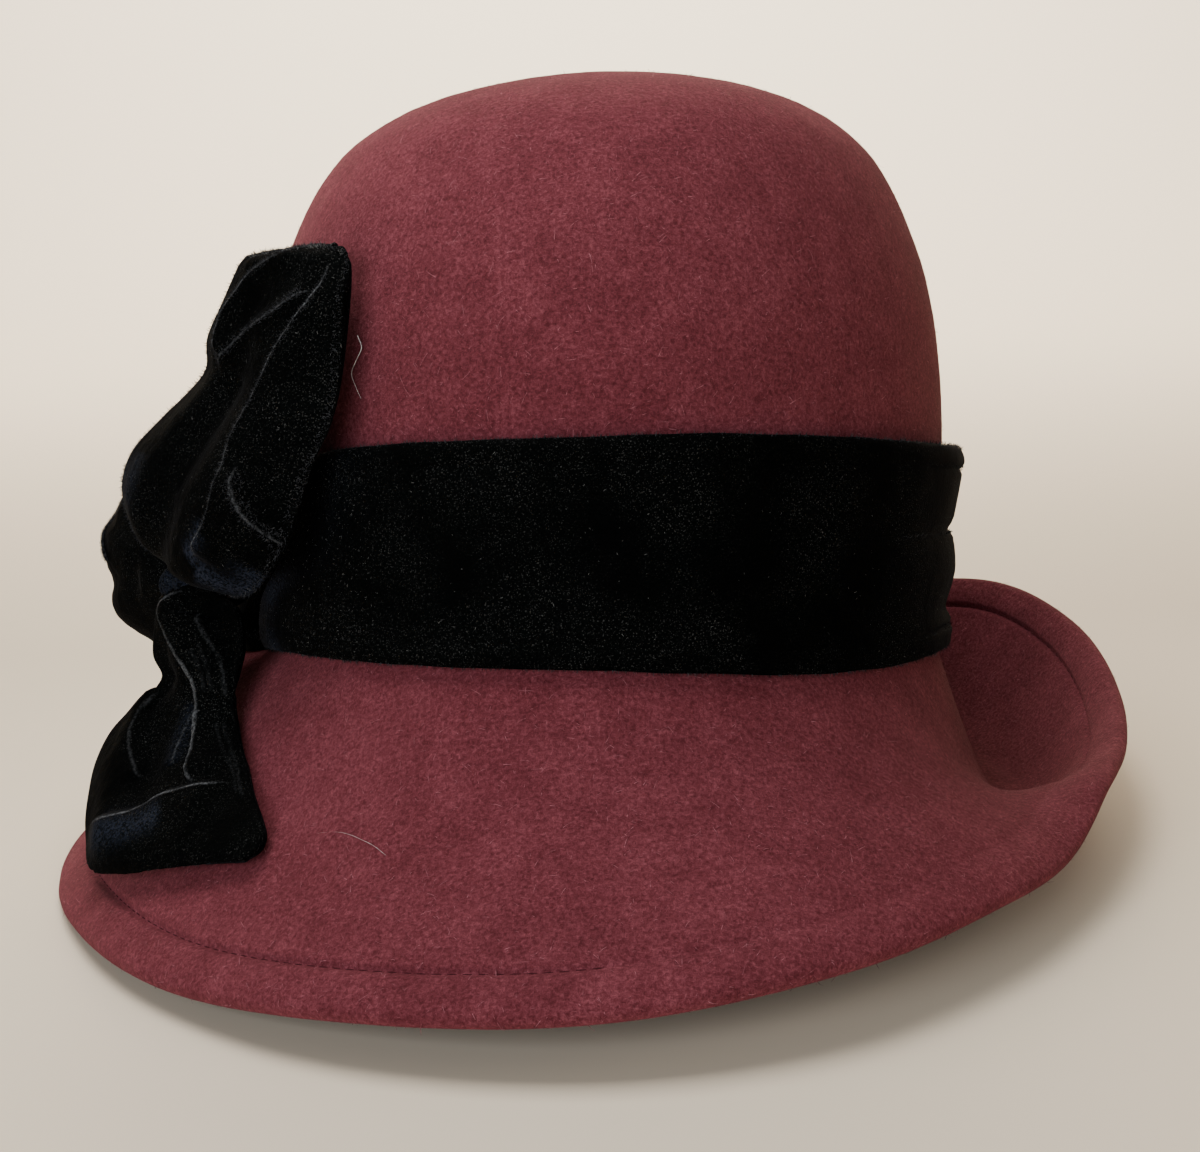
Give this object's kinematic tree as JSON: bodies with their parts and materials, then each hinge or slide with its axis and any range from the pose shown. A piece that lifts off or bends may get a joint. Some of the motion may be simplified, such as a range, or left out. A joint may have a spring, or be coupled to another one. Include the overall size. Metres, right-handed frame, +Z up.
{
  "type": "cloche hat",
  "caption": "Close-fitting bell-shaped felt hat with a deep rounded crown, an uneven turned brim, a velvet band and a side bow.",
  "frame": {"origin": "on the table under the middle of the hat's box", "axes": "+Z up, -Y towards the front of the hat, -X towards the bow on the wearer's right"},
  "size_m": [0.2834, 0.2988, 0.1976],
  "materials": {
    "burgundy_felt": "blocked wool felt with a short nap",
    "black_velvet": "soft cut pile, black, with a grey sheen on its folds"
  },
  "bodies": {
    "root": {"felt_body": "burgundy_felt", "hat_band": "black_velvet", "bow_knot": "black_velvet", "bow_upper_loop": "black_velvet", "bow_side_loop": "black_velvet", "bow_tail": "black_velvet"}
  },
  "joints": []
}
